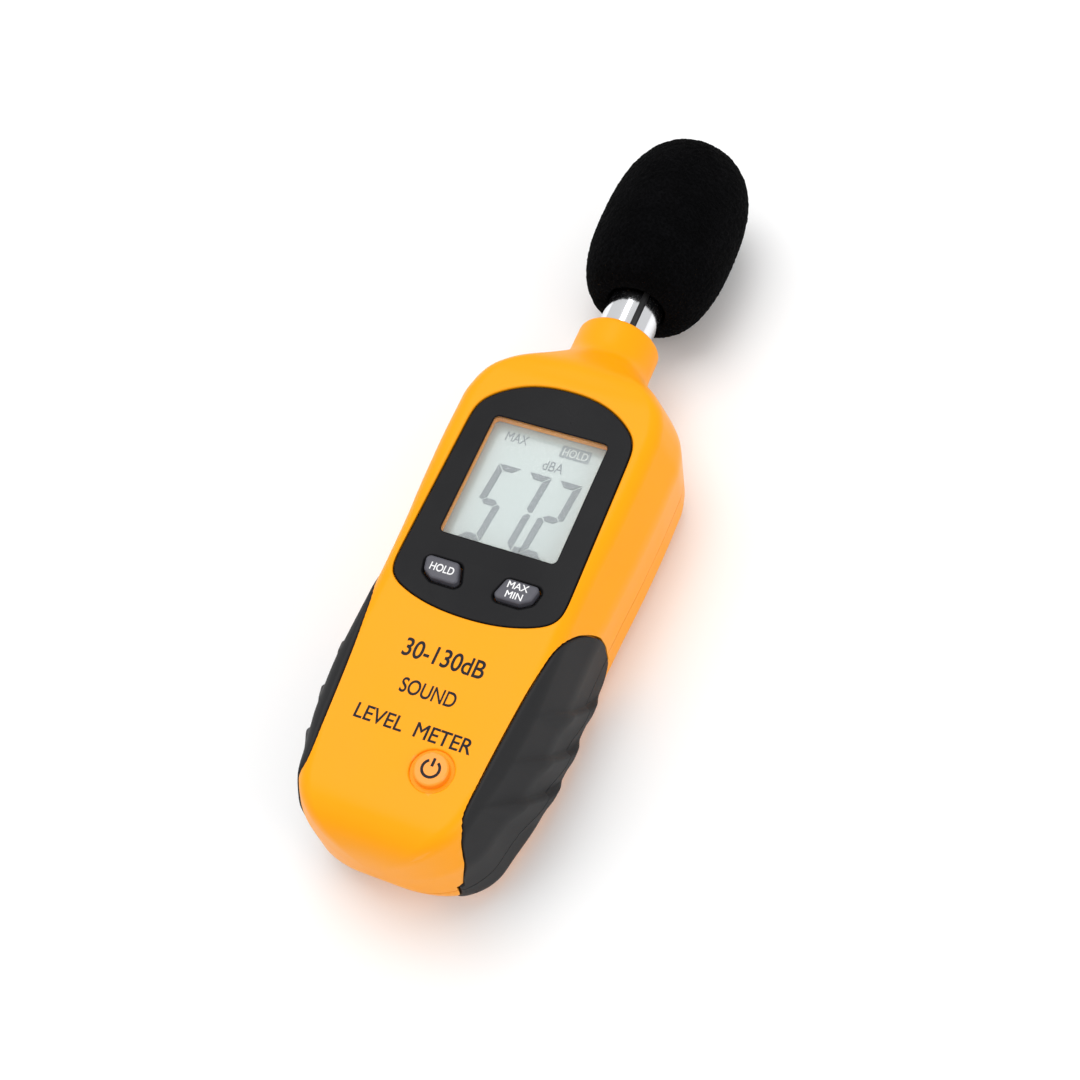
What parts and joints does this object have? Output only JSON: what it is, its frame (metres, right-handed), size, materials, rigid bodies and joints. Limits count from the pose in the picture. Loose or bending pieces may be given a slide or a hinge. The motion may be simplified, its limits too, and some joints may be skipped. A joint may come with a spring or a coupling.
{
  "type": "sound level meter",
  "caption": "Hand-held sound level meter with display, keys, rubber side grips, slotted microphone tube and pull-off foam windscreen.",
  "frame": {"origin": "middle of the footprint on the surface that the meter's flat back lies on", "axes": "+Z out of the display, +Y towards the microphone, +X to the right of the display"},
  "size_m": [0.056, 0.205, 0.0375],
  "materials": {
    "case_plastic": "satin orange-yellow ABS",
    "grip_rubber": "matte charcoal overmoulded rubber",
    "bezel_plastic": "smooth black",
    "lens": "clear acrylic window",
    "lcd": "grey-green liquid crystal display",
    "holder_plastic": "white moulded frame",
    "strip_rubber": "striped contact rubber",
    "circuit_board": "green solder mask",
    "chip_plastic": "black moulded",
    "trimmer_plastic": "blue moulded",
    "plunger_plastic": "light grey moulded",
    "key_plastic": "slate grey",
    "power_key_plastic": "satin orange",
    "tube_chrome": "polished chrome plate",
    "sleeve_plastic": "black",
    "capsule_metal": "brushed",
    "foam": "black open-cell foam",
    "wire_red": "insulated wire",
    "wire_black": "insulated wire",
    "plated_steel": "nickel plated",
    "battery_jacket": "printed jacket"
  },
  "bodies": {
    "meter": {"front_shell": "case_plastic", "rear_shell": "case_plastic", "front_grip_left": "grip_rubber", "front_grip_right": "grip_rubber", "rear_grip_left": "grip_rubber", "rear_grip_right": "grip_rubber", "display_bezel": "bezel_plastic", "display_lens": "lens", "lcd_glass": "lcd", "lcd_holder": "holder_plastic", "contact_strip_lower": "strip_rubber", "contact_strip_upper": "strip_rubber", "main_board": "circuit_board", "main_chip": "chip_plastic", "capacitor": "chip_plastic", "calibration_trimmer": "trimmer_plastic", "board_screw_1": "plated_steel", "board_screw_2": "plated_steel", "board_screw_3": "plated_steel", "hold_switch": "chip_plastic", "max_min_switch": "chip_plastic", "power_switch": "chip_plastic", "shell_screw_1": "plated_steel", "shell_screw_2": "plated_steel", "shell_screw_3": "plated_steel", "shell_screw_4": "plated_steel", "mic_tube": "tube_chrome", "mic_sleeve": "sleeve_plastic", "mic_capsule": "capsule_metal", "mic_wire_signal": "wire_red", "mic_wire_ground": "wire_black", "battery_1": "battery_jacket", "battery_2": "battery_jacket", "battery_3": "battery_jacket", "contact_positive": "plated_steel", "contact_negative": "plated_steel", "contact_bridge_base": "plated_steel", "contact_bridge_top": "plated_steel", "battery_wire_positive": "wire_red", "battery_wire_negative": "wire_black"},
    "hold_key": {"hold_button": "key_plastic", "hold_plunger": "plunger_plastic"},
    "max_min_key": {"max_min_button": "key_plastic", "max_min_plunger": "plunger_plastic"},
    "power_key": {"power_button": "power_key_plastic", "power_plunger": "plunger_plastic"},
    "foam_windscreen": {"windscreen": "foam"},
    "door": {"battery_door": "case_plastic"}
  },
  "joints": [
    {"name": "hold_press", "type": "slide", "parent": "meter", "child": "hold_key", "axis": [0, 0, -1], "range_m": [0, 0.0008], "stiffness_N_per_m": 600},
    {"name": "max_min_press", "type": "slide", "parent": "meter", "child": "max_min_key", "axis": [0, 0, -1], "range_m": [0, 0.0008], "stiffness_N_per_m": 600},
    {"name": "power_press", "type": "slide", "parent": "meter", "child": "power_key", "axis": [0, 0, -1], "range_m": [0, 0.0008], "stiffness_N_per_m": 600},
    {"name": "windscreen_pull", "type": "slide", "parent": "meter", "child": "foam_windscreen", "axis": [0, 1, 0], "range_m": [0, 0.06]},
    {"name": "door_slide", "type": "slide", "parent": "meter", "child": "door", "axis": [0, -1, 0], "range_m": [0, 0.066]}
  ]
}
